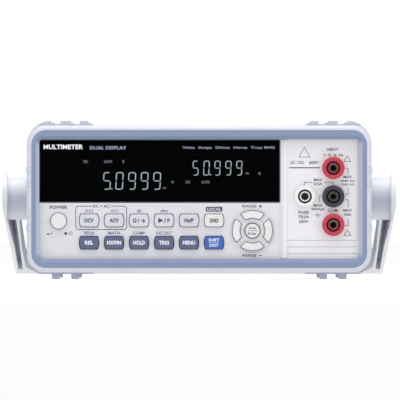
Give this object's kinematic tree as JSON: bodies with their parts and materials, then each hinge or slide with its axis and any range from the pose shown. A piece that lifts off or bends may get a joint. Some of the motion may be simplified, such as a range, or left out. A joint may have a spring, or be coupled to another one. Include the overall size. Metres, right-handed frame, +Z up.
{
  "type": "bench multimeter",
  "caption": "Bench multimeter with a dark dual display, rubber bumpers, a keypad, shrouded test sockets and a swing-down carrying handle.",
  "frame": {"origin": "centre of the footprint, on the table under the feet", "axes": "+X to the right seen from the front, +Y to the back, +Z up"},
  "size_m": [0.265, 0.302, 0.1061],
  "materials": {
    "bumper_elastomer": "soft satin elastomer, cool blue-grey",
    "panel_plastic": "fine spark-eroded texture",
    "case_paint": "fine powder coat",
    "zinc_steel": "zinc-plated sheet steel",
    "window_acrylic": "polished dark tinted acrylic",
    "display_glass": "dark vacuum-fluorescent glass",
    "circuit_board": "green solder mask",
    "silicone_rubber": "moulded silicone",
    "key_light_grey": "satin moulded",
    "key_slate": "satin moulded",
    "key_blue": "satin moulded",
    "key_white": "satin moulded",
    "black_plastic": "moulded",
    "socket_red": "polished moulded",
    "socket_black": "polished moulded",
    "socket_white": "polished moulded",
    "plated_brass": "nickel-plated brass",
    "bright_steel": "nickel-plated steel",
    "fuse_glass": "clear glass tube with plated ends",
    "handle_plastic": "fine texture, light grey",
    "boss_plastic": "moulded",
    "core_steel": "varnished laminations",
    "winding_tape": "polyester tape",
    "capacitor_sleeve": "printed sleeve",
    "aluminium": "extruded, plain",
    "ribbon_grey": "flat cable"
  },
  "bodies": {
    "root": {"amp_jack": "socket_red", "board_standoffs": "plated_brass", "case_cover": "case_paint", "chassis_tray": "zinc_steel", "common_jack": "socket_black", "display_board": "circuit_board", "display_tube": "display_glass", "display_window": "window_acrylic", "filter_capacitors": "capacitor_sleeve", "front_bumper": "bumper_elastomer", "front_panel": "panel_plastic", "fuse_housing": "black_plastic", "handle_bosses": "boss_plastic", "heat_sink": "aluminium", "inlet_pins": "plated_brass", "jack_nuts": "bright_steel", "jack_sockets": "plated_brass", "keypad_mat": "silicone_rubber", "main_board": "circuit_board", "mains_inlet": "black_plastic", "mains_switch": "black_plastic", "range_relays": "black_plastic", "rear_bumper": "bumper_elastomer", "rear_panel": "case_paint", "ribbon_cable": "ribbon_grey", "screws": "bright_steel", "serial_jackscrews": "bright_steel", "serial_port": "bright_steel", "transformer_core": "core_steel", "transformer_winding": "winding_tape", "usb_port": "bright_steel", "volt_jack": "socket_red"},
    "handle": {"handle_right_arm": "handle_plastic", "handle_left_arm": "handle_plastic", "handle_grip": "handle_plastic"},
    "power_button": {"power_button": "key_white", "power_rod": "black_plastic"},
    "fuse_carrier": {"fuse_carrier": "black_plastic", "input_fuse": "fuse_glass"},
    "fuse_cap": {"fuse_cap": "socket_white", "fuse_cap_socket": "plated_brass"},
    "fuse_drawer": {"fuse_drawer": "black_plastic", "mains_fuses": "fuse_glass"},
    "key_ac_volts": {"key_ac_volts": "key_light_grey"},
    "key_auto_range": {"key_auto_range": "key_white"},
    "key_dc_volts": {"key_dc_volts": "key_light_grey"},
    "key_diode": {"key_diode": "key_light_grey"},
    "key_frequency": {"key_frequency": "key_light_grey"},
    "key_hold": {"key_hold": "key_slate"},
    "key_menu": {"key_menu": "key_slate"},
    "key_min_max": {"key_min_max": "key_slate"},
    "key_ohms": {"key_ohms": "key_light_grey"},
    "key_range_down": {"key_range_down": "key_white"},
    "key_range_left": {"key_range_left": "key_white"},
    "key_range_right": {"key_range_right": "key_white"},
    "key_range_up": {"key_range_up": "key_white"},
    "key_relative": {"key_relative": "key_slate"},
    "key_second": {"key_second": "key_white"},
    "key_shift": {"key_shift": "key_blue"},
    "key_trigger": {"key_trigger": "key_slate"}
  },
  "joints": [
    {"name": "handle_swing", "type": "hinge", "parent": "root", "child": "handle", "pos_m": [0, -0.091, 0.054], "axis": [-1, 0, 0], "range_deg": [0, 270]},
    {"name": "power_press", "type": "slide", "parent": "root", "child": "power_button", "axis": [0, 1, 0], "range_m": [0, 0.0025]},
    {"name": "fuse_pull", "type": "slide", "parent": "root", "child": "fuse_carrier", "axis": [0, -1, 0], "range_m": [0, 0.04]},
    {"name": "fuse_twist", "type": "hinge", "parent": "fuse_carrier", "child": "fuse_cap", "pos_m": [0.07085, -0.1455, 0.0555], "axis": [0, -1, 0], "range_deg": [0, 90]},
    {"name": "fuse_drawer_slide", "type": "slide", "parent": "root", "child": "fuse_drawer", "axis": [0, 1, 0], "range_m": [0, 0.02]},
    {"name": "press_ac_volts", "type": "slide", "parent": "root", "child": "key_ac_volts", "axis": [0, 1, 0], "range_m": [0, 0.001], "stiffness_N_per_m": 20},
    {"name": "press_auto_range", "type": "slide", "parent": "root", "child": "key_auto_range", "axis": [0, 1, 0], "range_m": [0, 0.001], "stiffness_N_per_m": 20},
    {"name": "press_dc_volts", "type": "slide", "parent": "root", "child": "key_dc_volts", "axis": [0, 1, 0], "range_m": [0, 0.001], "stiffness_N_per_m": 20},
    {"name": "press_diode", "type": "slide", "parent": "root", "child": "key_diode", "axis": [0, 1, 0], "range_m": [0, 0.001], "stiffness_N_per_m": 20},
    {"name": "press_frequency", "type": "slide", "parent": "root", "child": "key_frequency", "axis": [0, 1, 0], "range_m": [0, 0.001], "stiffness_N_per_m": 20},
    {"name": "press_hold", "type": "slide", "parent": "root", "child": "key_hold", "axis": [0, 1, 0], "range_m": [0, 0.001], "stiffness_N_per_m": 20},
    {"name": "press_menu", "type": "slide", "parent": "root", "child": "key_menu", "axis": [0, 1, 0], "range_m": [0, 0.001], "stiffness_N_per_m": 20},
    {"name": "press_min_max", "type": "slide", "parent": "root", "child": "key_min_max", "axis": [0, 1, 0], "range_m": [0, 0.001], "stiffness_N_per_m": 20},
    {"name": "press_ohms", "type": "slide", "parent": "root", "child": "key_ohms", "axis": [0, 1, 0], "range_m": [0, 0.001], "stiffness_N_per_m": 20},
    {"name": "press_range_down", "type": "slide", "parent": "root", "child": "key_range_down", "axis": [0, 1, 0], "range_m": [0, 0.001], "stiffness_N_per_m": 20},
    {"name": "press_range_left", "type": "slide", "parent": "root", "child": "key_range_left", "axis": [0, 1, 0], "range_m": [0, 0.001], "stiffness_N_per_m": 20},
    {"name": "press_range_right", "type": "slide", "parent": "root", "child": "key_range_right", "axis": [0, 1, 0], "range_m": [0, 0.001], "stiffness_N_per_m": 20},
    {"name": "press_range_up", "type": "slide", "parent": "root", "child": "key_range_up", "axis": [0, 1, 0], "range_m": [0, 0.001], "stiffness_N_per_m": 20},
    {"name": "press_relative", "type": "slide", "parent": "root", "child": "key_relative", "axis": [0, 1, 0], "range_m": [0, 0.001], "stiffness_N_per_m": 20},
    {"name": "press_second", "type": "slide", "parent": "root", "child": "key_second", "axis": [0, 1, 0], "range_m": [0, 0.001], "stiffness_N_per_m": 20},
    {"name": "press_shift", "type": "slide", "parent": "root", "child": "key_shift", "axis": [0, 1, 0], "range_m": [0, 0.001], "stiffness_N_per_m": 20},
    {"name": "press_trigger", "type": "slide", "parent": "root", "child": "key_trigger", "axis": [0, 1, 0], "range_m": [0, 0.001], "stiffness_N_per_m": 20}
  ]
}
